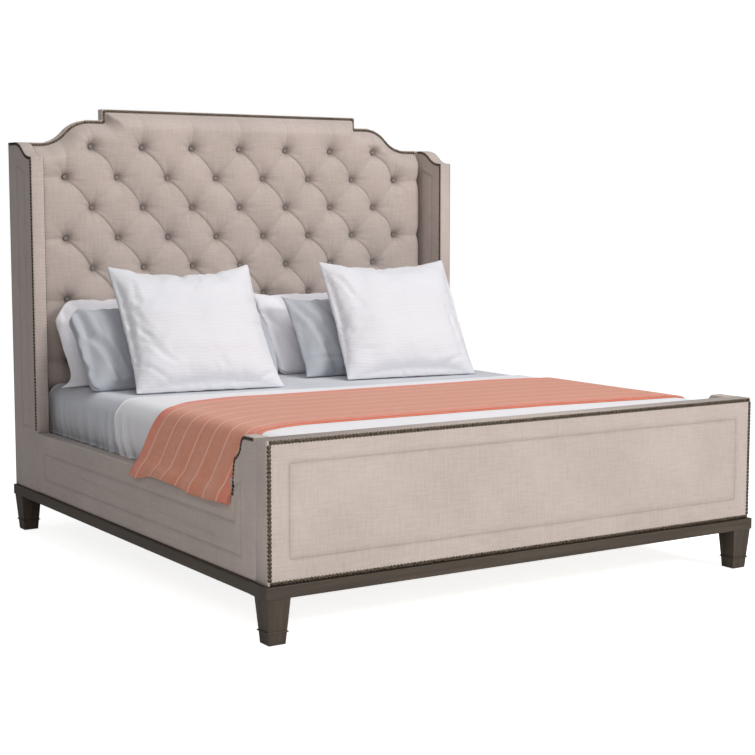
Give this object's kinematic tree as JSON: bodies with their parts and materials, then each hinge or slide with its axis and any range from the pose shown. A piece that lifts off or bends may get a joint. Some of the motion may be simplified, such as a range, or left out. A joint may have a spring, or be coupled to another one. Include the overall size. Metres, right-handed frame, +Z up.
{
  "type": "wingback bed",
  "caption": "Upholstered wingback bed with deep-buttoned headboard, low footboard wings, nailhead trim and tapered wood legs, made up with bedding.",
  "frame": {"origin": "centre of the bed's plan on the floor, under the middle of the mattress", "axes": "+Y towards the headboard along the bed's length, +X to the right seen from the foot, +Z up"},
  "size_m": [2.154, 2.29, 1.821],
  "materials": {
    "dark_wood": "satin",
    "plain_wood": "matte",
    "linen": "matte",
    "dust_cloth": "matte",
    "bronze_nails": "satin",
    "zinc_steel": "satin",
    "glide_plastic": "matte",
    "ticking": "matte",
    "white_cotton": "matte",
    "blue_cotton": "matte",
    "ribbed_white": "matte",
    "coral_weave": "matte"
  },
  "bodies": {
    "bed_frame": {"base_front": "dark_wood", "base_left": "dark_wood", "base_rear": "dark_wood", "base_right": "dark_wood", "beam_plates": "zinc_steel", "beam_screws": "zinc_steel", "bracket_bolts": "zinc_steel", "centre_beam": "plain_wood", "centre_legs": "plain_wood", "foot_brackets": "zinc_steel", "footboard_back_panel": "plain_wood", "footboard_cover": "linen", "footboard_cross_rails": "plain_wood", "footboard_front_panel": "plain_wood", "footboard_nails": "bronze_nails", "footboard_uprights": "plain_wood", "head_plates": "zinc_steel", "headboard_back_cloth": "dust_cloth", "headboard_border": "linen", "headboard_buttons": "linen", "headboard_cross_rails": "plain_wood", "headboard_nails": "bronze_nails", "headboard_pad": "linen", "headboard_panel": "plain_wood", "headboard_stiles": "plain_wood", "leg_bolts": "zinc_steel", "leg_front_left": "dark_wood", "leg_front_right": "dark_wood", "leg_glides": "glide_plastic", "leg_rear_left": "dark_wood", "leg_rear_right": "dark_wood", "rail_core_left": "plain_wood", "rail_core_right": "plain_wood", "rail_cover_left": "linen", "rail_cover_right": "linen", "rail_nails": "bronze_nails", "slat_screws": "zinc_steel", "slats": "plain_wood", "threaded_inserts": "zinc_steel", "wing_core_left": "plain_wood", "wing_core_right": "plain_wood", "wing_cover_left": "linen", "wing_cover_right": "linen", "wing_nails": "bronze_nails"},
    "front_foot": {"levelling_foot_front": "zinc_steel"},
    "middle_foot": {"levelling_foot_middle": "zinc_steel"},
    "rear_foot": {"levelling_foot_rear": "zinc_steel"},
    "mattress_set": {"foundation": "ticking", "mattress": "ticking", "fitted_sheet": "white_cotton", "blanket": "blue_cotton", "coverlet": "ribbed_white"},
    "throw_blanket": {"throw": "coral_weave"},
    "white_pillow_left_body": {"white_pillow_left": "white_cotton"},
    "blue_pillow_left_body": {"blue_pillow_left": "blue_cotton"},
    "square_pillow_left_body": {"square_pillow_left": "ribbed_white"},
    "white_pillow_right_body": {"white_pillow_right": "white_cotton"},
    "blue_pillow_right_body": {"blue_pillow_right": "blue_cotton"},
    "square_pillow_right_body": {"square_pillow_right": "ribbed_white"}
  },
  "joints": [
    {"name": "front_foot_screw", "type": "slide", "parent": "bed_frame", "child": "front_foot", "axis": [0, 0, 1], "range_m": [0, 0.012]},
    {"name": "middle_foot_screw", "type": "slide", "parent": "bed_frame", "child": "middle_foot", "axis": [0, 0, 1], "range_m": [0, 0.012]},
    {"name": "rear_foot_screw", "type": "slide", "parent": "bed_frame", "child": "rear_foot", "axis": [0, 0, 1], "range_m": [0, 0.012]},
    {"name": "mattress_lift", "type": "slide", "parent": "bed_frame", "child": "mattress_set", "axis": [0, 0, 1], "range_m": [0, 0.3]},
    {"name": "throw_lift", "type": "slide", "parent": "mattress_set", "child": "throw_blanket", "axis": [0, 0, 1], "range_m": [0, 0.25]},
    {"name": "white_pillow_left_lift", "type": "slide", "parent": "mattress_set", "child": "white_pillow_left_body", "axis": [0, -0.7986, 0.6018], "range_m": [0, 0.12]},
    {"name": "blue_pillow_left_lift", "type": "slide", "parent": "white_pillow_left_body", "child": "blue_pillow_left_body", "axis": [0, -0.7986, 0.6018], "range_m": [0, 0.16]},
    {"name": "square_pillow_left_lift", "type": "slide", "parent": "blue_pillow_left_body", "child": "square_pillow_left_body", "axis": [0, -0.7986, 0.6018], "range_m": [0, 0.25]},
    {"name": "white_pillow_right_lift", "type": "slide", "parent": "mattress_set", "child": "white_pillow_right_body", "axis": [0, -0.7986, 0.6018], "range_m": [0, 0.12]},
    {"name": "blue_pillow_right_lift", "type": "slide", "parent": "white_pillow_right_body", "child": "blue_pillow_right_body", "axis": [0, -0.7986, 0.6018], "range_m": [0, 0.16]},
    {"name": "square_pillow_right_lift", "type": "slide", "parent": "blue_pillow_right_body", "child": "square_pillow_right_body", "axis": [0, -0.7986, 0.6018], "range_m": [0, 0.25]}
  ]
}
